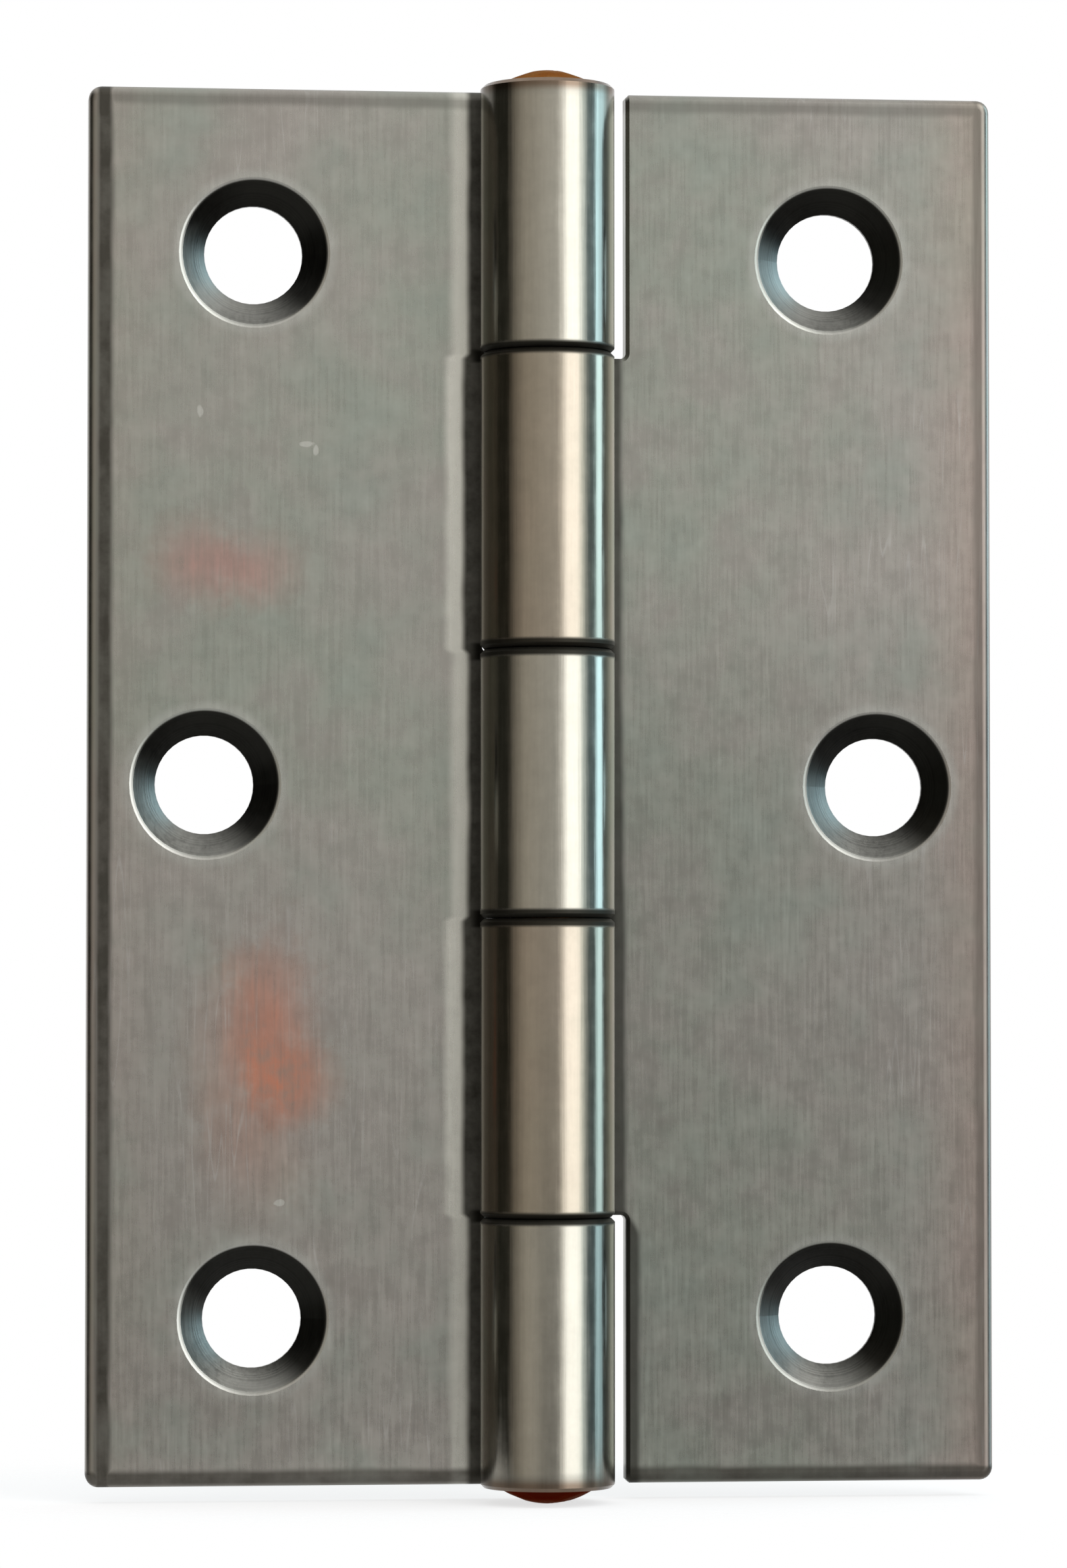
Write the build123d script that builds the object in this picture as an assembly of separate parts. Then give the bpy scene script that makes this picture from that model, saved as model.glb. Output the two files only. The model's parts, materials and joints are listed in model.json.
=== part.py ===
"""Butt hinge, open flat: two leaves pressed from steel sheet and one riveted pin.

Each leaf is one piece of sheet whose inner edge is cut into tongues and rolled forward into
knuckles. Three knuckles of the fixed leaf and two of the turning leaf share the pin.

The pin lies along Z and the origin is on it at half height. The fixed leaf reaches to -X and
the turning leaf to +X. The countersunk fronts face -Y. Lengths are in millimetres.
"""

import math
import os

from build123d import *

# Driving dimensions
LEAF_HEIGHT = 75.0
LEAF_REACH = 24.5  # pin axis to a leaf's free edge
SHEET = 1.6
PIN_DIAMETER = 3.9
TURNING_KNUCKLE = 15.9  # length of each of the two knuckles
SCREW_HOLE = 5.3
SCREW_HEAD = 7.9  # countersink at the front face
COUNTERSINK_ANGLE = 90.0
END_SCREW_INSET = 8.9  # from a leaf's end
END_SCREW_REACH = 15.6  # from the pin axis
MIDDLE_SCREW_REACH = 18.2
END_NOTCH_REACH = 4.5  # pin axis to the turning leaf's edge beside the end knuckles
RIVET_HEIGHT = 0.85
RIVET_LAP = 0.1  # rivet head past the mouth of the bore, all round

# Clearances
PIN_CLEARANCE = 0.05  # radial, pin in bore
KNUCKLE_GAP = 0.05  # along the pin, between neighbouring knuckles
NOTCH_CLEARANCE = 0.28  # radial, notch edge to the knuckle that turns in it
SEAM_GAP = 0.15  # end of the roll to the leaf's front face

# Edge rounding
EDGE_ROLL = 0.5  # drawn-in front edge of the sheared outline, and so the mouth of the bore
EDGE_BREAK = 0.2  # worn back edge, knuckle ends and notch edges clear of the knuckles
RIM_BREAK = 0.12  # edge of the countersink
LEAF_CORNER = 0.7
NOTCH_CORNER = 0.3

# Modelling allowances
OVERCUT = 1.0  # cutting tools reach this far past the sheet
TOUCH = 1e-4  # distance at which a point counts as lying on a face

# The roll closes on the pin, and the leaf's back stays level with the back of the roll
bore_radius = PIN_DIAMETER / 2 + PIN_CLEARANCE
knuckle_radius = bore_radius + SHEET
rivet_radius = bore_radius + EDGE_ROLL + RIVET_LAP
front_y = bore_radius
roll_past_side = math.degrees(math.asin((front_y - SEAM_GAP) / knuckle_radius))
quarter_turn = 90.0
roll_angle = 3 * quarter_turn + roll_past_side
notch_reach = math.sqrt((knuckle_radius + NOTCH_CLEARANCE) ** 2 - front_y**2)

# Knuckles along the pin, counted from the middle one upward
fixed_knuckle = (LEAF_HEIGHT - 2 * TURNING_KNUCKLE - 4 * KNUCKLE_GAP) / 3
half_height = LEAF_HEIGHT / 2
middle_top = fixed_knuckle / 2
turning_bottom = middle_top + KNUCKLE_GAP
turning_top = turning_bottom + TURNING_KNUCKLE
end_bottom = turning_top + KNUCKLE_GAP

# Screw holes
end_screw_z = half_height - END_SCREW_INSET
half_countersink = math.radians(COUNTERSINK_ANGLE / 2)
countersink_depth = (SCREW_HEAD - SCREW_HOLE) / 2 / math.tan(half_countersink)


def rolled_sheet():
    """Full-height sheet reaching to -X: flat leaf, then the roll round the pin."""
    section = Wire(
        [
            Line((-LEAF_REACH, knuckle_radius), (0, knuckle_radius)),
            CenterArc((0, 0), knuckle_radius, quarter_turn, -roll_angle),
            Line(roll_end(knuckle_radius), roll_end(bore_radius)),
            CenterArc((0, 0), bore_radius, quarter_turn, -roll_angle),
            Line((0, front_y), (-LEAF_REACH, front_y)),
            Line((-LEAF_REACH, front_y), (-LEAF_REACH, knuckle_radius)),
        ]
    )
    sheet = Pos(Z=-half_height) * extrude(Face(section), LEAF_HEIGHT, dir=(0, 0, 1))
    corners = sheet.edges().filter_by(Axis.Y).sort_by(Axis.X)[:2]
    return fillet(corners, LEAF_CORNER)


def roll_end(radius):
    """Where the roll stops, at this distance from the pin axis."""
    angle = math.radians(quarter_turn - roll_angle)
    return (radius * math.cos(angle), radius * math.sin(angle))


def notch(bottom, top, reach):
    """Cutter for the space a neighbouring knuckle turns in, clear of the axis out to reach."""
    outer = knuckle_radius + OVERCUT
    height = top - bottom
    through_leaf = Box(reach + outer, 2 * outer, height)
    inner = through_leaf.edges().filter_by(Axis.Y).sort_by(Axis.X)[:2]
    through_leaf = Pos((outer - reach) / 2) * fillet(inner, NOTCH_CORNER)
    seam_y = front_y - SEAM_GAP / 2
    whole_roll = Pos(0, (seam_y - outer) / 2) * Box(2 * outer, seam_y + outer, height)
    return Pos(Z=(bottom + top) / 2) * (through_leaf + whole_roll)


def rim(leaf, radius):
    """Edges where one face of the sheet ends: flat at y = radius, and rolled at that radius."""
    found = []
    for edge in leaf.edges():
        points = [edge @ 0, edge @ 0.5, edge @ 1]
        flat = all(abs(p.Y - radius) < TOUCH for p in points)
        rolled = all(abs(math.hypot(p.X, p.Y) - radius) < TOUCH for p in points)
        if flat != rolled:
            found.append(edge)
    return found


def screw_hole(reach, z):
    """Cutter for a countersunk screw hole, open to the front."""
    flare = OVERCUT * math.tan(half_countersink)
    shank = Cylinder(SCREW_HOLE / 2, SHEET + 2 * OVERCUT)
    head = Cone(SCREW_HOLE / 2, SCREW_HEAD / 2 + flare, countersink_depth + OVERCUT)
    to_front = Rot(X=quarter_turn)
    shank = Pos(-reach, front_y + SHEET / 2, z) * to_front * shank
    head = Pos(-reach, front_y + (countersink_depth - OVERCUT) / 2, z) * to_front * head
    return shank + head


def leaf(notches):
    """One leaf reaching to -X, with its notches cut, edges rounded and screw holes sunk."""
    body = rolled_sheet()
    for bottom, top, reach in notches:
        body -= notch(bottom, top, reach)
    deepest = max(reach for bottom, top, reach in notches) + TOUCH
    body = fillet([e for e in rim(body, bore_radius) if (e @ 0.5).X < -deepest], EDGE_ROLL)
    clear = [e for e in rim(body, bore_radius) if -deepest < (e @ 0.5).X < -knuckle_radius]
    if clear:
        body = chamfer(clear, EDGE_BREAK)
    body = chamfer(rim(body, knuckle_radius), EDGE_BREAK)
    body -= screw_hole(END_SCREW_REACH, end_screw_z)
    body -= screw_hole(END_SCREW_REACH, -end_screw_z)
    body -= screw_hole(MIDDLE_SCREW_REACH, 0)
    sunk = body.faces().filter_by(GeomType.CONE).edges().filter_by(GeomType.CIRCLE)
    rims = [e for e in sunk if abs(e.radius - SCREW_HEAD / 2) < TOUCH]
    return chamfer(rims, RIM_BREAK)


def riveted_pin():
    """Pin with a domed rivet head closed down on each end of the barrel."""
    shank, head = PIN_DIAMETER / 2, rivet_radius
    crown = half_height + RIVET_HEIGHT
    dome = (head**2 + RIVET_HEIGHT**2) / (2 * RIVET_HEIGHT)
    section = Wire(
        [
            Line((0, -crown), (0, crown)),
            RadiusArc((0, crown), (head, half_height), dome),
            Line((head, half_height), (shank, half_height)),
            Line((shank, half_height), (shank, -half_height)),
            Line((shank, -half_height), (head, -half_height)),
            RadiusArc((head, -half_height), (0, -crown), dome),
        ]
    )
    return revolve(Plane.XZ * Face(section), Axis.Z)


past_end = half_height + OVERCUT
fixed_leaf = leaf(
    [
        (middle_top, end_bottom, notch_reach),
        (-end_bottom, -middle_top, notch_reach),
    ]
)
turning_leaf = leaf(
    [
        (-turning_bottom, turning_bottom, notch_reach),
        (turning_top, past_end, END_NOTCH_REACH),
        (-past_end, -turning_top, END_NOTCH_REACH),
    ]
)
turning_leaf = mirror(turning_leaf, about=Plane.YZ)

os.makedirs("parts", exist_ok=True)
export_step(fixed_leaf, "parts/leaf_three_knuckle.step")
export_step(turning_leaf, "parts/leaf_two_knuckle.step")
export_step(riveted_pin(), "parts/hinge_pin.step")
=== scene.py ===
import json
import math
import random
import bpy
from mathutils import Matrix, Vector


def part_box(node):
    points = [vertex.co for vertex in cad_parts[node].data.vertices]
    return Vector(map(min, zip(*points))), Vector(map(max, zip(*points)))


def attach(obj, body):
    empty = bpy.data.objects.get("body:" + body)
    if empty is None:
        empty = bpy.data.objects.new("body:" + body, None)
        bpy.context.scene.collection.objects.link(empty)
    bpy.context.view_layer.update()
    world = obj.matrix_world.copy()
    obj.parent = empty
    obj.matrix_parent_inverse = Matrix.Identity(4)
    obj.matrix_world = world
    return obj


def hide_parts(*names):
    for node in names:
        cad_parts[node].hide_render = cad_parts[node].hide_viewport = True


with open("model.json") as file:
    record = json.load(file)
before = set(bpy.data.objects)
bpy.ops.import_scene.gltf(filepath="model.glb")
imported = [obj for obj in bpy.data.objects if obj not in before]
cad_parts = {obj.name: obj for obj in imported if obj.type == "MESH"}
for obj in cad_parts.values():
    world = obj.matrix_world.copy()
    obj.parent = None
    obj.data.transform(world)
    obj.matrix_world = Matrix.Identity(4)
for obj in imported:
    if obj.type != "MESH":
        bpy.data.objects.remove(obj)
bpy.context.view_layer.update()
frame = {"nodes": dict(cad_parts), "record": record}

from types import SimpleNamespace

import bmesh
import bpy
from mathutils import Matrix, Vector

# Lengths are in millimetres and angles in degrees. MM turns a length into Blender's metres
MM = 0.001

# Sizes that the frame doesn't give, as the part's source has them
SHEET = 1.6
PIN_CLEARANCE = 0.05  # radial, pin in bore
TURNING_KNUCKLE = 15.9  # length of each knuckle of the right leaf
KNUCKLE_GAP = 0.05  # along the pin, between neighbouring knuckles
SCREW_HEAD = 7.9  # countersink at the front face

# Sizes from the solids. The pin lies along Z, the leaves reach to -X and +X, and the fronts face -Y
leaf_low, leaf_high = ([place / MM for place in corner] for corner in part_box("leaf_three_knuckle"))
pin_high = [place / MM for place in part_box("hinge_pin")[1]]
leaf_reach = -leaf_low[0]
half_height = leaf_high[2]
back_y = leaf_high[1]
front_y = back_y - SHEET
knuckle_radius = back_y
pin_radius = knuckle_radius - SHEET - PIN_CLEARANCE
rivet_radius = pin_high[0]
rivet_height = pin_high[2] - half_height
dome_radius = (rivet_radius**2 + rivet_height**2) / (2 * rivet_height)
head_radius = SCREW_HEAD / 2

# Heights of the joints between knuckles, above and below the middle
middle_knuckle = (2 * half_height - 2 * TURNING_KNUCKLE - 4 * KNUCKLE_GAP) / 3
inner_joint = (middle_knuckle + KNUCKLE_GAP) / 2
outer_joint = inner_joint + TURNING_KNUCKLE + KNUCKLE_GAP

# Screw holes of a leaf, as distances from the pin axis and heights, from the record's mounts
mounts = {mount["name"]: mount for mount in frame["record"]["mounts"]}
end_screws = mounts["fixed_leaf_end_screws"]
end_reach = -end_screws["pos_m"][0] / MM
end_z = end_screws["dims"]["spacing_y_mm"] / 2
middle_reach = -mounts["fixed_leaf_middle_screw"]["pos_m"][0] / MM
screw_holes = ((end_reach, end_z), (end_reach, -end_z), (middle_reach, 0.0))

# Rivet heads, and the flats that the hammer's blows leave on them
PIN_SIDES = 96
HEAD_RINGS = 14
RING_CROWDING = 1.15  # above 1 the rings lie closer together toward the rim
HEAD_SEAT = 0.985  # radius of the head's flat underside, as a share of the head's
HEAD_RIM = 0.03  # least height of the head above the barrel's end
BLOWS = 11
BLOW_TURN = 0.382  # share of a turn from one blow to the next
BLOW_STRAY = 0.05
BLOW_REACH = (0.12, 0.75)  # least distance from the pin axis and the span beyond, as shares of the head
BLOW_TILT = (0.7, 1.15)  # times the slope of the dome
BLOW_DEPTH = (0.02, 0.06)
CREASE = 24.0

# Colours of the steel sheet
GREEN_GREY = (0.262, 0.272, 0.235)
WARM_GREY = (0.285, 0.272, 0.245)
PALE_GREY = (0.30, 0.272, 0.25)
COOL_GREY = (0.235, 0.262, 0.228)
BLUSH = (0.42, 0.18, 0.12)
PINK = (0.39, 0.152, 0.13)
RUST = (0.39, 0.13, 0.07)
SPECK = (0.45, 0.445, 0.41)
SCRATCH = (0.42, 0.41, 0.39)
# painted highlight on the leaf beside the barrel
ROOT_HIGHLIGHT = (0.48, 0.47, 0.42)
BROWNED = (0.115, 0.062, 0.033)
# painted shade on the flanks of the barrel
FLANK_SHADE = (0.03, 0.028, 0.022)
# painted highlight round each countersink
RIM_HIGHLIGHT = (0.37, 0.37, 0.34)
# dark scale in the countersinks, deepened as painted shade
SCALE = (0.018, 0.0175, 0.015)
# painted light on the lower-left wall of each countersink
LIT_WALL = (0.228, 0.226, 0.205)
# painted shade just inside the edges
EDGE_SHADE = (0.05, 0.046, 0.038)
# painted shade in the corner between leaf and barrel
ROOT_SHADE = (0.03, 0.028, 0.023)
# painted shade in the joints between knuckles
JOINT_SHADE = (0.012, 0.011, 0.008)

# Colours of the pin
PIN_BROWN = (0.22, 0.1, 0.04)
PIN_TAN = (0.24, 0.135, 0.065)
PIN_PITS = (0.1, 0.032, 0.012)
# the lower head's red-brown, painted dark as shade
SHADED_LOWER_DARK = (0.05, 0.011, 0.005)
SHADED_LOWER_RED = (0.07, 0.018, 0.008)
PIN_GLANCE = (0.5, 0.32, 0.22)

# Roughness
SHEET_ROUGHNESS = 0.27
LEAST_ROUGHNESS = 0.08
PIN_ROUGHNESS = (0.34, 0.56)

# How far to each side of one half a noise is used
WIDE = 0.3
MIDDLE = 0.25
NARROW = 0.2

# Painted shade just inside the edges of both leaves, stronger at the bottom than the top, as strength and
# depth
TOP_SHADE = (0.4, 0.75)
BOTTOM_SHADE = (0.9, 0.66)

# Toward the lower left, where painted light brightens the wall of each countersink
LIT_SIDE = (-0.6, -0.8)

# What sets the leaves apart. A stain is given by X, Z, half width, half height and strength, and a speck
# by the first four. Painted shade along the free edge is given by strength and depth
left_look = SimpleNamespace(
    side=-1,  # reaches to -X
    seed=3.0,
    # painted shade: the look's fade darkens the flat toward the bottom
    fade=(0.0, 0.0),  # brightness added to the upper and the lower part of the flat
    burnish=(0.26, 0.24, 0.197),
    blush=0.05,
    stains=(
        (PINK, ((-18.6, 11.9, 2.6, 2.3, 0.62), (-15.5, 11.6, 2.4, 1.9, 0.5))),
        (
            RUST,
            (
                (-14.5, -12.4, 2.3, 4.4, 0.85),
                (-13.3, -16.1, 2.2, 2.3, 0.62),
                (-16.6, -14.4, 2.4, 4.8, 0.36),
                (-15.7, -19.4, 3.2, 3.4, 0.3),
            ),
        ),
    ),
    specks=(
        (-12.8, 18.3, 0.5, 0.2),
        (-12.3, 18.0, 0.16, 0.3),
        (-18.5, 20.0, 0.22, 0.42),
        (-14.2, -22.4, 0.3, 0.22),
    ),
    # painted shade along the free edge, stronger on this leaf than the other
    side_shade=(1.0, 1.08),
    # strength of the painted shade in the corner by the barrel
    root_shade_strength=0.95,
    # strength of the painted highlight beside the barrel
    root_highlight_strength=0.85,
)
right_look = SimpleNamespace(
    side=1,
    seed=41.0,
    fade=(-0.07, -0.215),
    burnish=(0.285, 0.236, 0.18),
    blush=0.16,
    stains=(),
    specks=(),
    side_shade=(0.5, 0.75),
    root_shade_strength=0.85,
    root_highlight_strength=0.0,
)

# Camera
CAMERA_AZIMUTH = -6.34
CAMERA_ELEVATION = -2.1
CAMERA_DISTANCE = 320.0
CAMERA_LENS = 137.3
CAMERA_SENSOR = 36.0
CAMERA_AIM = (-0.753, 0.0, -0.003)
CLIP_START = 10.0

# Key lamp
KEY_AZIMUTH = 62.0
KEY_ELEVATION = 50.0
KEY_DISTANCE = 600.0
KEY_SIZE = 350.0
KEY_RADIANCE = 2.4

# Colour and brightness of the room, in units of ROOM_UNIT, by azimuth from the front toward +X
ROOM_UNIT = 4.0
ROOM = (
    (-180, (0.25, 0.25, 0.25)),
    (-150, (0.2, 0.2, 0.2)),
    (-125, (0.01, 0.01, 0.008)),
    (-77, (0.01, 0.01, 0.008)),
    (-64, (0.1, 0.092, 0.08)),
    (-44, (0.2, 0.188, 0.17)),
    (5, (0.232, 0.23, 0.223)),
    (12, (0.255, 0.253, 0.247)),
    (20, (0.465, 0.468, 0.47)),
    (28, (0.865, 0.88, 0.9)),
    (47, (0.865, 0.89, 0.91)),
    (56, (0.43, 0.49, 0.505)),
    (68, (0.062, 0.088, 0.1)),
    (83, (0.052, 0.075, 0.086)),
    (88, (0.64, 0.95, 1.12)),
    (102, (0.64, 0.95, 1.12)),
    (115, (0.32, 0.42, 0.45)),
    (140, (0.25, 0.265, 0.27)),
    (180, (0.25, 0.25, 0.25)),
)
# Factors on that by height, where -1 is straight down and 1 is straight up
WALL_HEIGHT = ((-1.0, 0.02), (-0.35, 0.03), (-0.16, 0.2), (0.0, 0.82), (0.14, 1.1), (1.0, 1.12))
PANEL_HEIGHT = ((-1.0, 0.02), (-0.4, 0.1), (-0.22, 0.75), (-0.06, 1.0), (0.14, 1.06), (1.0, 1.06))
LEFT_HEIGHT = ((-1.0, 0.02), (-0.4, 0.1), (-0.22, 0.8), (0.0, 0.9), (0.14, 0.92), (1.0, 0.92))
PANEL_SPAN = (10, 22, 54, 68)  # azimuths where the bright panel begins, is full, falls off and ends
LEFT_SPAN = (-34, -8)  # azimuths where the left of the room is full and ends
ROOM_TOP = 1.4
TOP_FROM = (0.5, 0.85)
ROOM_BELOW = 0.75
BELOW_FROM = (-0.22, -0.36)
BACKDROP_FROM = (0.3, 0.7)  # how far to the back a direction points before metal mirrors the white
WHITE = (1.0, 1.0, 1.0)

# Floor
FLOOR_RADIUS = 48.0
FLOOR_SIDES = 96
FLOOR_COLOUR = (0.8, 0.8, 0.8)
FLOOR_GLOW = 0.7  # share of white in what the eye and mirrors see
FADE_OVAL = (0.7, 1.35, 1.0)
FADE_SHIFT = (0.0, -14.0 * MM, 0.0)
FADE_SPAN = (0.3, 0.8)  # shares of the radius


class Graph:
    """A node tree, with one short call for each kind of node."""

    def __init__(self, tree):
        self.tree = tree
        tree.nodes.clear()

    def node(self, kind, inputs=(), **settings):
        made = self.tree.nodes.new(kind)
        for key, value in settings.items():
            setattr(made, key, value)
        for key, value in dict(inputs).items():
            self.set(made.inputs[key], value)
        return made

    def set(self, socket, value):
        if isinstance(value, bpy.types.NodeSocket):
            self.tree.links.new(value, socket)
        else:
            socket.default_value = value

    def math(self, operation, *values):
        """One operation on its values, and again on the result where there are more than two."""
        made = values[0]
        for value in values[1:]:
            made = self.node("ShaderNodeMath", {0: made, 1: value}, operation=operation).outputs[0]
        return made

    def total(self, *values):
        return self.math("ADD", *values)

    def less(self, value, taken):
        return self.math("SUBTRACT", value, taken)

    def product(self, *values):
        return self.math("MULTIPLY", *values)

    def largest(self, *values):
        return self.math("MAXIMUM", *values)

    def smallest(self, *values):
        return self.math("MINIMUM", *values)

    def size(self, value):
        """The value without its sign."""
        return self.node("ShaderNodeMath", {0: value}, operation="ABSOLUTE").outputs[0]

    def length(self, a, b):
        """Length of the line to a point in a plane."""
        squares = self.total(self.product(a, a), self.product(b, b))
        return self.node("ShaderNodeMath", {0: squares}, operation="SQRT").outputs[0]

    def distance(self, x, z, at_x, at_z, width=1.0, height=1.0):
        """Distance from a point of the leaf's plane, in half widths and half heights."""
        across = self.math("DIVIDE", self.less(x, at_x), width)
        along = self.math("DIVIDE", self.less(z, at_z), height)
        return self.length(across, along)

    def change(self, value, start, end, low, high, course):
        made = self.node(
            "ShaderNodeMapRange",
            {"Value": value, "From Min": start, "From Max": end, "To Min": low, "To Max": high},
            interpolation_type=course,
        )
        return made.outputs["Result"]

    def step(self, value, start, end, low=0.0, high=1.0):
        """Smooth change from low to high as value goes from start to end."""
        return self.change(value, start, end, low, high, "SMOOTHSTEP")

    def ramp(self, value, start, end, low=0.0, high=1.0):
        """Straight change from low to high as value goes from start to end."""
        return self.change(value, start, end, low, high, "LINEAR")

    def vary(self, noise, low, high, reach=MIDDLE):
        """A noise as a change from low to high, over its values within reach of one half."""
        return self.ramp(noise, 0.5 - reach, 0.5 + reach, low, high)

    def stretch(self, vector, factors, offset=(0.0, 0.0, 0.0), turn=(0.0, 0.0, 0.0)):
        made = self.node(
            "ShaderNodeMapping",
            {"Vector": vector, "Location": offset, "Rotation": turn, "Scale": factors},
        )
        return made.outputs["Vector"]

    def noise(self, vector, scale=1.0, detail=2.0, roughness=0.5, distortion=0.0):
        made = self.node(
            "ShaderNodeTexNoise",
            {
                "Vector": vector,
                "Scale": scale,
                "Detail": detail,
                "Roughness": roughness,
                "Distortion": distortion,
            },
        )
        return made.outputs["Fac"]

    def mix(self, factor, a, b, blend="MIX"):
        made = self.node("ShaderNodeMix", data_type="RGBA", blend_type=blend, clamp_factor=True)
        colours = [s for s in made.inputs if s.type == "RGBA"]
        self.set(made.inputs[0], factor)
        self.set(colours[0], a if isinstance(a, bpy.types.NodeSocket) else (*a, 1.0))
        self.set(colours[1], b if isinstance(b, bpy.types.NodeSocket) else (*b, 1.0))
        return [s for s in made.outputs if s.type == "RGBA"][0]

    def stops(self, value, points):
        """Colour that changes straight from point to point, each a place from 0 to 1 and a colour."""
        made = self.node("ShaderNodeValToRGB", {"Fac": value})
        ramp = made.color_ramp
        while len(ramp.elements) < len(points):
            ramp.elements.new(0.5)
        for element, (place, colour) in zip(ramp.elements, points):
            element.position = place
            element.color = (*colour, 1.0)
        return made.outputs["Color"]


def metal(name):
    """A new material whose Principled shader is a metal, with its graph and millimetre coordinates."""
    material = bpy.data.materials.new(name)
    material.use_nodes = True
    g = Graph(material.node_tree)
    shader = g.node("ShaderNodeBsdfPrincipled", {"Metallic": 1.0})
    output = g.node("ShaderNodeOutputMaterial")
    g.tree.links.new(shader.outputs["BSDF"], output.inputs["Surface"])
    place = g.node("ShaderNodeTexCoord").outputs["Object"]
    scaled = g.node("ShaderNodeVectorMath", {0: place, "Scale": 1.0 / MM}, operation="SCALE")
    return material, g, shader, scaled.outputs["Vector"]


def emboss(g, shader, relief):
    """Gives a metal a relief in millimetres."""
    bump = g.node("ShaderNodeBump", {"Strength": 1.0, "Distance": MM, "Height": relief})
    g.set(shader.inputs["Normal"], bump.outputs["Normal"])


class LeafSteel:
    """Dull rolled sheet of one leaf, laid up in coats from the bare steel to painted highlights and
    painted shade.
    """

    def __init__(self, name, look):
        self.material, self.g, self.shader, place = metal(name)
        self.look = look
        self.x, self.y, self.z = self.g.node("ShaderNodeSeparateXYZ", {0: place}).outputs
        self.out = self.g.size(self.x)
        self.up = self.g.size(self.z)
        self.find_barrel()
        self.find_holes()
        self.grow_textures(place)
        self.lay_bare_steel()
        self.lay_stains()
        self.lay_specks()
        self.lay_scratches()
        self.paint_root_light_and_shade()
        self.burnish_knuckles()
        self.sink_holes()
        self.lay_painted_shade()
        self.finish()

    def coat(self, cover, colour):
        """Lays a colour over the tone so far, by a cover from 0 to 1."""
        self.tone = self.g.mix(cover, self.tone, colour)

    def roughen(self, cover, change):
        self.roughness = self.g.total(self.roughness, self.g.product(cover, change))

    def find_barrel(self):
        """Where the sheet is rolled or flat, the front of the flat, and the knuckles and their joints."""
        g = self.g
        from_axis = g.length(self.x, self.y)
        self.rolled = g.step(from_axis, knuckle_radius + 0.4, knuckle_radius + 0.06)
        self.flat = g.less(1.0, self.rolled)
        self.front = g.step(self.y, front_y + 0.9, front_y + 0.3)
        blend = 0.2
        above_middle = g.step(self.up, inner_joint - blend, inner_joint + blend)
        self.at_ends = g.step(self.up, outer_joint - blend, outer_joint + blend)
        self.at_turning = g.less(above_middle, self.at_ends)
        inner_extra = 0.13
        from_inner = g.less(g.size(g.less(self.up, inner_joint)), inner_extra)
        from_outer = g.size(g.less(self.up, outer_joint))
        near_joint = g.step(g.smallest(from_inner, from_outer), 0.44, 0.23)
        near_barrel = g.step(from_axis, knuckle_radius + 1.0, knuckle_radius + 0.4)
        self.joint = g.product(near_joint, near_barrel)

    def find_holes(self):
        """Distance from the nearest screw hole, and the wall of the holes and countersinks."""
        g = self.g
        self.holes = [(self.look.side * reach, z) for reach, z in screw_holes]
        self.from_hole = g.smallest(*(g.distance(self.x, self.z, *hole) for hole in self.holes))
        before_back = g.step(self.y, back_y - 0.02, back_y - 0.1)
        blend = 0.06
        inside = g.step(self.from_hole, head_radius + blend, head_radius - blend)
        self.sunk = g.product(inside, before_back)

    def grow_textures(self, place):
        """Noises from slow to fine, ragged outlines, streaks along the rolling, and cutter rings."""
        g, seed = self.g, self.look.seed
        self.place = g.stretch(place, (1.0, 1.0, 1.0), offset=(seed, seed * 0.7, seed * 1.3))
        self.slow = g.noise(self.place, 0.055, detail=1.0)
        self.patch = g.noise(self.place, 0.21, detail=3.0, roughness=0.6)
        self.mottle = g.noise(self.place, 0.9, detail=4.0, roughness=0.65)
        self.ragged = g.total(g.vary(self.mottle, -0.3, 0.3), g.vary(self.patch, -0.25, 0.25))
        self.grain = g.noise(g.stretch(self.place, (5.5, 5.5, 0.28)), roughness=0.6)
        self.die_lines = g.noise(g.stretch(self.place, (3.2, 3.2, 0.05)), roughness=0.6)
        rings_per_mm = 9.0
        outward = g.node("ShaderNodeCombineXYZ", {0: g.product(self.from_hole, rings_per_mm)})
        self.rings = g.noise(outward.outputs[0])

    def lay_bare_steel(self):
        """Tints of the sheet, with its mottling and grain in brightness and roughness, and painted shade
        toward the bottom of the flat.
        """
        g = self.g
        self.tone = g.mix(g.step(self.slow, 0.35, 0.65), GREEN_GREY, WARM_GREY)
        self.coat(g.step(self.patch, 0.42, 0.72, 0.0, 0.55), PALE_GREY)
        self.coat(g.step(self.patch, 0.5, 0.26, 0.0, 0.5), COOL_GREY)
        # painted shade, darker toward the bottom of the flat
        upper_z, lower_z = 14.0, -4.0
        self.brightness = g.total(
            g.vary(self.mottle, -0.09, 0.09, WIDE),
            g.vary(self.grain, -0.05, 0.05, WIDE),
            g.product(self.flat, g.step(self.z, upper_z, lower_z, *self.look.fade)),
            1.0,
        )
        self.roughness = g.total(
            g.vary(self.mottle, -0.03, 0.05, WIDE),
            g.vary(self.grain, -0.05, 0.05, WIDE),
            g.vary(self.patch, 0.03, -0.03),
            SHEET_ROUGHNESS,
        )

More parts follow.
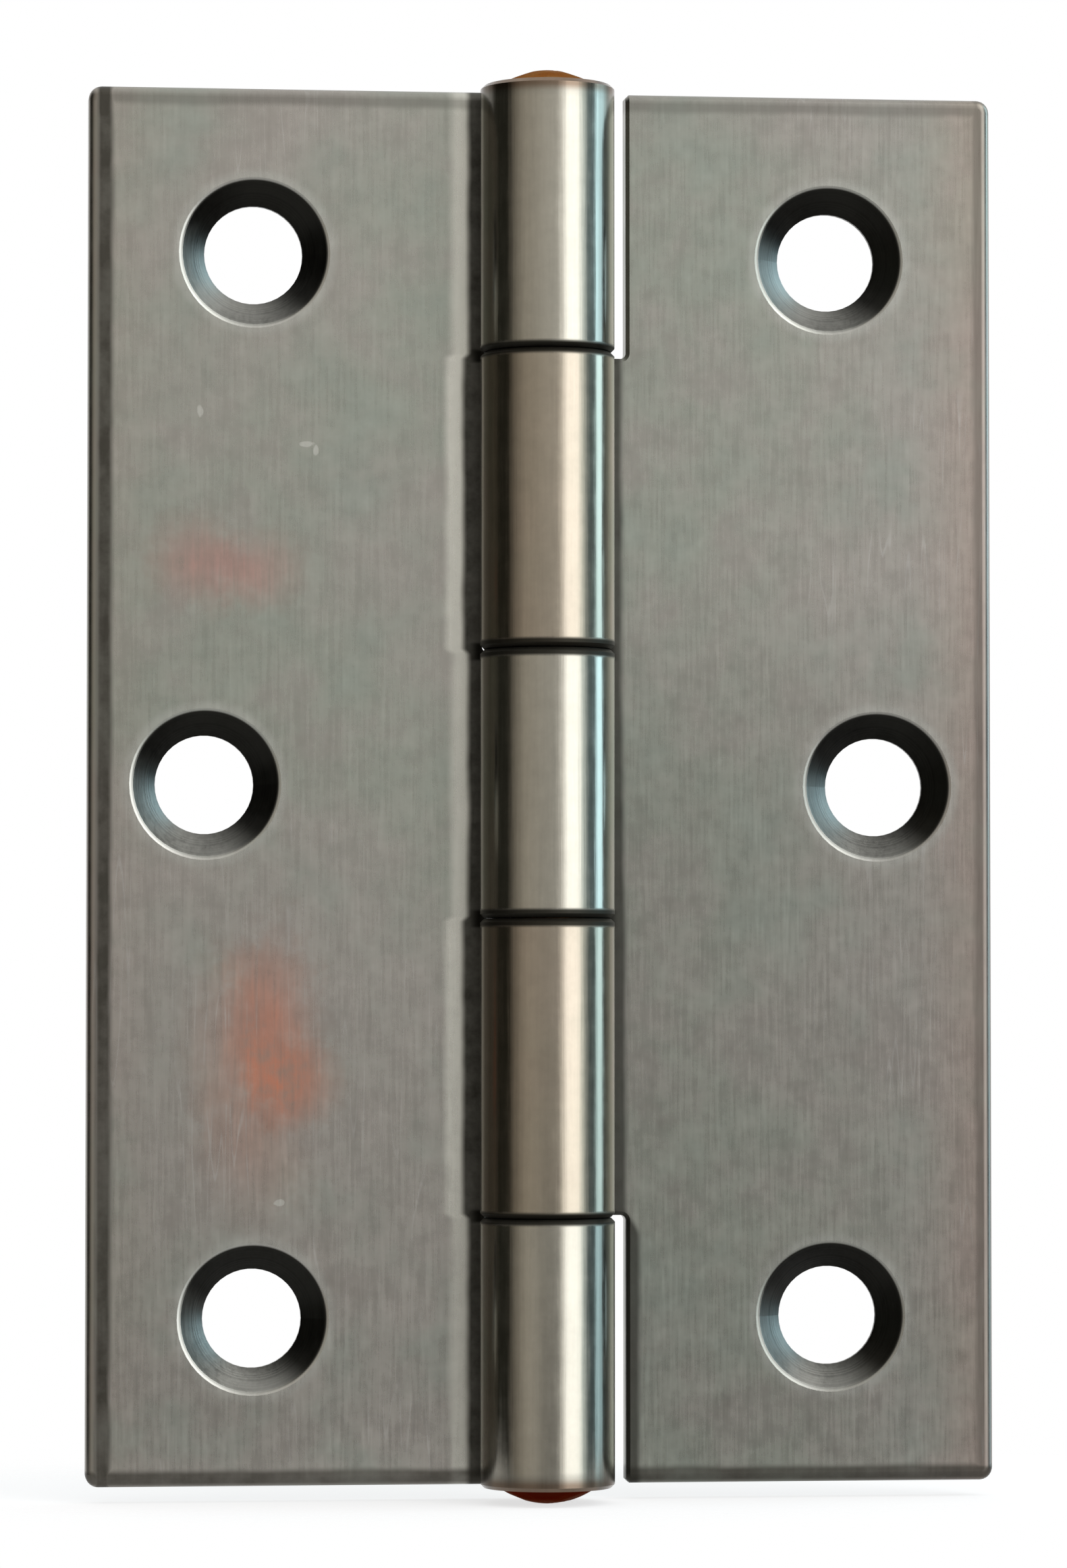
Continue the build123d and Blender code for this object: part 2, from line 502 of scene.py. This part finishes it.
    def lay_stains(self):
        """A blush along the free edge, and the leaf's reddish stains."""
        g = self.g
        blush_width = 5.0
        outward = g.product(self.x, self.look.side)
        blush = g.step(outward, leaf_reach - blush_width, leaf_reach)
        self.coat(g.product(blush, self.look.blush), BLUSH)
        for colour, blobs in self.look.stains:
            covers = []
            for at_x, at_z, width, height, strength in blobs:
                from_middle = g.distance(self.x, self.z, at_x, at_z, width, height)
                covers.append(g.step(g.total(from_middle, self.ragged), 1.5, -0.1, 0.0, strength))
            broken = g.product(g.vary(self.mottle, 0.45, 1.05), g.vary(self.grain, 0.8, 1.1))
            stain = g.product(g.smallest(g.total(*covers), 0.9), broken, self.front)
            self.coat(stain, colour)
            self.roughen(stain, 0.12)

    def lay_specks(self):
        """Small light chips."""
        g = self.g
        for speck in self.look.specks:
            from_middle = g.distance(self.x, self.z, *speck)
            uneven = g.total(from_middle, g.product(self.ragged, 1.6))
            self.coat(g.product(g.step(uneven, 1.0, 0.75, 0.0, 0.6), self.front), SPECK)

    def lay_scratches(self):
        """Handling scratches in two directions, where a stretched noise crosses its middle value."""
        g = self.g
        lines = []
        for turn, across, along in ((0.35, 0.9, 0.035), (-1.1, 0.8, 0.03)):
            drawn = g.stretch(self.place, (across, 0.2, along), turn=(0.0, turn, 0.0))
            off_line = g.size(g.less(g.noise(drawn, detail=1.0), 0.5))
            lines.append(g.step(off_line, 0.008, 0.002))
        here = g.product(g.step(self.slow, 0.48, 0.62), g.step(self.patch, 0.42, 0.6))
        self.coat(g.product(g.largest(*lines), here, 0.3), SCRATCH)

    def root_spread(self):
        """How much wider the painted shade beside the barrel is, as a distance taken off."""
        g = self.g
        if self.look.side < 0:
            return g.product(self.at_turning, -0.28)
        lower_half = g.step(self.z, 6.0, -12.0, -0.2, -0.42)
        lower_slot = g.step(self.z, 0.5 - outer_joint, -1.1 - outer_joint, 0.0, -0.7)
        return g.total(lower_half, lower_slot)

    def paint_root_light_and_shade(self):
        """A painted highlight on the leaf beside the barrel, and painted shade in the corner where leaf
        and barrel meet.
        """
        g, look = self.g, self.look
        from_root = g.total(self.out, g.vary(self.patch, -0.07, 0.07), self.root_spread())
        # painted highlight beside the barrel, stronger by the turning knuckles
        shine = g.total(look.root_highlight_strength, g.product(self.at_turning, 0.4 * look.root_highlight_strength))
        beside = g.step(from_root, knuckle_radius + 1.7, knuckle_radius + 1.0)
        self.coat(g.product(beside, self.front, shine), ROOT_HIGHLIGHT)
        # painted shade in the corner where the leaf meets the barrel
        corner = g.step(from_root, knuckle_radius + 0.7, knuckle_radius + 0.25)
        shade_strength = g.product(look.root_shade_strength, g.vary(self.mottle, 0.9, 1.05))
        self.root = g.product(corner, self.front, self.flat, shade_strength)

    def burnish_knuckles(self):
        """Knuckles rubbed bright by the rolling, browned at the barrel's ends, painted dark as shade on
        the flanks.
        """
        g = self.g
        self.coat(g.product(self.rolled, 0.75), self.look.burnish)
        barrel_end = g.step(self.up, half_height - 0.8, half_height - 0.3)
        self.coat(g.product(barrel_end, self.rolled, 0.75), BROWNED)
        # painted shade on the barrel's left flank
        left_flank = g.step(self.x, 0.6 - knuckle_radius, 0.3 - knuckle_radius)
        self.coat(g.product(left_flank, self.rolled, 0.5), FLANK_SHADE)
        # painted shade on the right flank of the end knuckles
        band_inner = g.step(self.x, knuckle_radius - 1.4, knuckle_radius - 1.05)
        band_outer = g.step(self.x, knuckle_radius - 0.35, knuckle_radius - 0.6)
        self.coat(g.product(band_inner, band_outer, self.at_ends, self.rolled, 0.5), FLANK_SHADE)
        self.roughen(self.rolled, -0.12)

    def sink_holes(self):
        """Countersinks with dark scale deepened by painted shade, painted light on the lower-left wall,
        inside a painted highlight round the rim.
        """
        g = self.g
        # painted highlight round the rim of each countersink
        rim = g.step(self.from_hole, head_radius + 0.75, head_radius + 0.15)
        self.coat(g.product(rim, self.front, 0.5), RIM_HIGHLIGHT)
        # painted light on the lower-left wall of each countersink, painted shade over the rest of it
        cuts = []
        for at_x, at_z in self.holes:
            near = g.step(g.distance(self.x, self.z, at_x, at_z), head_radius + 1.0, head_radius)
            across = g.product(g.less(self.x, at_x), LIT_SIDE[0])
            along = g.product(g.less(self.z, at_z), LIT_SIDE[1])
            cuts.append(g.product(near, g.step(g.total(across, along), 0.2, 3.0)))
        self.coat(self.sunk, g.mix(g.largest(*cuts), SCALE, LIT_WALL))
        ringed = g.product(self.sunk, g.vary(self.rings, -0.2, 0.2))
        self.brightness = g.total(self.brightness, ringed)
        self.roughen(self.sunk, 0.06)

    def lay_painted_shade(self):
        """Uneven lines painted dark as shade just inside the edges, in the corner by the barrel and in
        the joints.
        """
        g = self.g
        wander = g.vary(self.patch, -0.1, 0.1)
        edges = (
            (g.less(leaf_reach, self.out), *self.look.side_shade),
            (g.less(half_height, self.z), *TOP_SHADE),
            (g.total(half_height, self.z), *BOTTOM_SHADE),
        )
        lines = []
        for from_edge, strength, depth in edges:
            inner = g.step(g.total(from_edge, wander), depth + 0.42, depth)
            outer = g.step(from_edge, depth - 0.75, depth - 0.4, 0.25, 1.0)
            lines.append(g.product(inner, outer, strength))
        uneven = g.total(g.vary(self.patch, 0.76, 1.06, NARROW), g.vary(self.mottle, -0.1, 0.1, NARROW))
        edge = g.product(g.largest(*lines), uneven, g.ramp(self.rolled, 0.0, 1.0, 1.0, 0.35))
        # painted shade inside the edges, stronger at the left and the bottom
        self.coat(edge, EDGE_SHADE)
        self.roughen(edge, 0.1)
        # painted shade in the corner by the barrel
        self.coat(self.root, ROOT_SHADE)
        self.roughen(self.root, 0.2)
        # painted shade in the joints between knuckles
        self.coat(g.product(self.joint, 0.95), JOINT_SHADE)
        self.roughen(self.joint, 0.35)

    def finish(self):
        """Connects the coats, and adds a relief: mottling, grain, die lines on the roll, cutter rings."""
        g = self.g
        lit = g.node("ShaderNodeHueSaturation", {"Color": self.tone, "Value": self.brightness})
        g.set(self.shader.inputs["Base Color"], lit.outputs["Color"])
        g.set(self.shader.inputs["Roughness"], g.largest(self.roughness, LEAST_ROUGHNESS))
        relief = g.total(
            g.product(self.mottle, 0.002),
            g.product(self.grain, 0.0016),
            g.product(self.rolled, self.die_lines, 0.004),
            g.product(self.sunk, self.rings, 0.006),
        )
        emboss(g, self.shader, relief)


def pin_steel(name):
    """Browned steel with darker pits, dark red on the lower head, whose darkness is painted shade."""
    material, g, shader, place = metal(name)
    patch = g.noise(place, 0.9, detail=5.0, roughness=0.65, distortion=0.3)
    fine = g.noise(place, 5.0, detail=4.0, roughness=0.65)
    tone = g.mix(g.step(patch, 0.35, 0.68), PIN_BROWN, PIN_TAN)
    tone = g.mix(g.step(fine, 0.5, 0.75, 0.0, 0.55), tone, PIN_PITS)
    z = g.node("ShaderNodeSeparateXYZ", {0: place}).outputs[2]
    # painted shade: the lower head darkened, keeping a red-brown
    shaded_lower_head = g.step(z, -10.0, -30.0)
    tone = g.mix(shaded_lower_head, tone, g.mix(patch, SHADED_LOWER_DARK, SHADED_LOWER_RED))
    g.set(shader.inputs["Base Color"], tone)
    g.set(shader.inputs["Roughness"], g.vary(fine, *PIN_ROUGHNESS, WIDE))
    g.set(shader.inputs["Specular Tint"], (*PIN_GLANCE, 1.0))
    emboss(g, shader, g.total(g.product(fine, 0.012), g.product(patch, 0.02)))
    return material


def add_object(name, data):
    made = bpy.data.objects.new(name, data)
    bpy.context.scene.collection.objects.link(made)
    return made


def add_mesh(name, mesh):
    """A new object from a bmesh, which is then freed."""
    data = bpy.data.meshes.new(name)
    mesh.to_mesh(data)
    mesh.free()
    return add_object(name, data)


def dome_height(radius):
    """Height of a rivet head's smooth dome above the barrel's end, this far from the pin axis."""
    return math.sqrt(dome_radius**2 - radius**2) - dome_radius + rivet_height


def hammer_flats(draw):
    """Planes that the blows leave on one head, as slopes along X and Y and a height on the pin axis."""
    flats = []
    nearest, span = BLOW_REACH
    for blow in range(BLOWS):
        angle = 2 * math.pi * (blow * BLOW_TURN + draw.uniform(-BLOW_STRAY, BLOW_STRAY))
        radius = rivet_radius * (nearest + span * math.sqrt((blow + 0.5) / BLOWS))
        slope = radius / math.sqrt(dome_radius**2 - radius**2) * draw.uniform(*BLOW_TILT)
        top = dome_height(radius) - draw.uniform(*BLOW_DEPTH) + slope * radius
        flats.append((slope * math.cos(angle), slope * math.sin(angle), top))
    return flats


def add_ring(mesh, radius, height):
    """Points round the pin axis. Height is worked out from each point's X and Y."""
    made = []
    for side in range(PIN_SIDES):
        angle = 2 * math.pi * side / PIN_SIDES
        x, y = radius * math.cos(angle), radius * math.sin(angle)
        made.append(mesh.verts.new(Vector((x, y, height(x, y))) * MM))
    return made


def join_rings(mesh, a, b):
    for i in range(PIN_SIDES):
        j = (i + 1) % PIN_SIDES
        mesh.faces.new((a[i], a[j], b[j], b[i]))


def add_rivet_head(mesh, end, draw):
    """One head, at the end of the barrel that is -1 or 1. Returns its ring on the shank."""
    flats = hammer_flats(draw)

    def seat(x, y):
        return end * half_height

    def hammered(x, y):
        cuts = [top - slope_x * x - slope_y * y for slope_x, slope_y, top in flats]
        lift = min(dome_height(math.hypot(x, y)), *cuts)
        return end * (half_height + max(lift, HEAD_RIM))

    rings = [add_ring(mesh, pin_radius, seat), add_ring(mesh, rivet_radius * HEAD_SEAT, seat)]
    for k in range(HEAD_RINGS):
        radius = rivet_radius * (1 - (k / HEAD_RINGS) ** RING_CROWDING)
        rings.append(add_ring(mesh, radius, hammered))
    crown = min(rivet_height, *(top for slope_x, slope_y, top in flats))
    tip = mesh.verts.new(Vector((0, 0, end * (half_height + crown))) * MM)
    for a, b in zip(rings, rings[1:]):
        join_rings(mesh, a, b)
    last = rings[-1]
    for i in range(PIN_SIDES):
        mesh.faces.new((last[i], last[(i + 1) % PIN_SIDES], tip))
    return rings[0]


def peened_pin():
    """The pin as a turned form whose two rivet heads carry flats left by the hammer."""
    draw = random.Random(7)
    mesh = bmesh.new()
    lower, upper = (add_rivet_head(mesh, end, draw) for end in (-1, 1))
    join_rings(mesh, lower, upper)
    bmesh.ops.recalc_face_normals(mesh, faces=mesh.faces)
    made = add_mesh("pin_peened", mesh)
    made.data.shade_smooth()
    made.data.set_sharp_from_angle(angle=math.radians(CREASE))
    return made


def direction(azimuth, elevation):
    """Direction seen from the hinge, with the azimuth measured from the front toward +X."""
    a, e = math.radians(azimuth), math.radians(elevation)
    return Vector((math.sin(a) * math.cos(e), -math.cos(a) * math.cos(e), math.sin(e)))


def key_lamp():
    """A soft square lamp that faces the hinge from the upper right."""
    data = bpy.data.lights.new("key", "AREA")
    data.size = KEY_SIZE * MM
    data.energy = math.pi * data.size**2 * KEY_RADIANCE
    lamp = add_object("key", data)
    back = direction(KEY_AZIMUTH, KEY_ELEVATION)
    lamp.location = back * KEY_DISTANCE * MM
    lamp.rotation_euler = back.to_track_quat("Z", "Y").to_euler()
    lamp.visible_camera = False


def around(azimuth):
    """An azimuth as a share of the turn that starts and ends behind the hinge."""
    return (azimuth + 180) / 360


def room_light(g, x, y, z):
    """Brightness of the room by direction: grey on the left, with a bright panel on the right."""
    turn = g.ramp(g.math("ARCTAN2", x, g.product(y, -1.0)), -math.pi, math.pi)
    room = g.stops(turn, [(around(azimuth), colour) for azimuth, colour in ROOM])
    rise = g.ramp(z, -1.0, 1.0)
    wall, panel, left = (
        g.stops(rise, [((height + 1) / 2, (level,) * 3) for height, level in levels])
        for levels in (WALL_HEIGHT, PANEL_HEIGHT, LEFT_HEIGHT)
    )
    begins, full, falls, ends = (around(azimuth) for azimuth in PANEL_SPAN)
    on_panel = g.product(g.step(turn, begins, full), g.step(turn, ends, falls))
    left_full, left_ends = (around(azimuth) for azimuth in LEFT_SPAN)
    by_height = g.mix(g.step(turn, left_ends, left_full), wall, left)
    by_height = g.mix(on_panel, by_height, panel)
    room = g.mix(1.0, room, by_height, "MULTIPLY")
    room = g.mix(1.0, room, (ROOM_UNIT,) * 3, "MULTIPLY")
    room = g.mix(g.step(z, *TOP_FROM), room, (ROOM_TOP,) * 3)
    return g.mix(g.step(z, *BELOW_FROM), room, (ROOM_BELOW,) * 3)


def surroundings():
    """A room that lights the hinge. The eye sees white instead, and so does metal toward the back."""
    world = bpy.data.worlds.new("studio")
    bpy.context.scene.world = world
    world.use_nodes = True
    g = Graph(world.node_tree)
    toward = g.node("ShaderNodeTexCoord").outputs["Generated"]
    x, y, z = g.node("ShaderNodeSeparateXYZ", {0: toward}).outputs
    path = g.node("ShaderNodeLightPath").outputs
    mirrored = g.product(g.step(y, *BACKDROP_FROM), path["Is Glossy Ray"])
    seen = g.largest(path["Is Camera Ray"], path["Is Transmission Ray"], mirrored)
    shade = g.mix(seen, room_light(g, x, y, z), WHITE)
    light = g.node("ShaderNodeBackground", {"Color": shade, "Strength": 1.0})
    output = g.node("ShaderNodeOutputWorld")
    g.tree.links.new(light.outputs["Background"], output.inputs["Surface"])


def floor_white():
    """White that keeps the hinge's shadow and fades out toward the rim of the floor."""
    material = bpy.data.materials.new("floor_white")
    material.use_nodes = True
    g = Graph(material.node_tree)
    path = g.node("ShaderNodeLightPath").outputs
    seen = g.largest(path["Is Camera Ray"], path["Is Glossy Ray"], path["Is Transmission Ray"])
    matt = g.node("ShaderNodeBsdfDiffuse", {"Color": (*FLOOR_COLOUR, 1.0)}).outputs[0]
    glow = g.node("ShaderNodeEmission", {"Color": (*WHITE, 1.0), "Strength": 1.0}).outputs[0]
    white = g.node("ShaderNodeMixShader", {0: g.product(seen, FLOOR_GLOW), 1: matt, 2: glow}).outputs[0]
    place = g.node("ShaderNodeTexCoord").outputs["Object"]
    oval = g.stretch(place, FADE_OVAL, offset=FADE_SHIFT)
    out = g.node("ShaderNodeVectorMath", {0: oval}, operation="LENGTH").outputs["Value"]
    fade = g.step(out, *(FLOOR_RADIUS * share * MM for share in FADE_SPAN))
    clear = g.node("ShaderNodeBsdfTransparent").outputs[0]
    soft = g.node("ShaderNodeMixShader", {0: fade, 1: white, 2: clear}).outputs[0]
    output = g.node("ShaderNodeOutputMaterial")
    g.tree.links.new(soft, output.inputs["Surface"])
    return material


def pale_floor():
    """Round floor that the hinge stands on."""
    mesh = bmesh.new()
    bmesh.ops.create_circle(mesh, cap_ends=True, segments=FLOOR_SIDES, radius=FLOOR_RADIUS * MM)
    floor = add_mesh("floor", mesh)
    floor.location.z = -(half_height + rivet_height) * MM
    floor.data.materials.append(floor_white())


def photo_camera():
    """The camera at the photograph's viewing angle, fitted to the outline, the holes and the joints."""
    back = direction(CAMERA_AZIMUTH, CAMERA_ELEVATION)
    right = Vector((0, 0, 1)).cross(back).normalized()
    up = back.cross(right)
    data = bpy.data.cameras.new("camera")
    data.lens = CAMERA_LENS
    data.sensor_width = CAMERA_SENSOR
    data.clip_start = CLIP_START * MM
    camera = add_object("camera", data)
    place = Vector(CAMERA_AIM) * MM + back * CAMERA_DISTANCE * MM
    axes = Matrix((right, up, back)).transposed().to_4x4()
    camera.matrix_world = Matrix.Translation(place) @ axes
    bpy.context.scene.camera = camera


def dress(node, material):
    """Gives a CAD node its material."""
    slots = frame["nodes"][node].data.materials
    if slots:
        slots[0] = material
    else:
        slots.append(material)


dress("leaf_three_knuckle", LeafSteel("steel_three_knuckle", left_look).material)
dress("leaf_two_knuckle", LeafSteel("steel_two_knuckle", right_look).material)

pin = peened_pin()
pin.data.materials.append(pin_steel("steel_pin"))
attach(pin, "fixed_leaf")
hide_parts("hinge_pin")

surroundings()
pale_floor()
key_lamp()
photo_camera()
bpy.context.scene.view_settings.view_transform = "Standard"
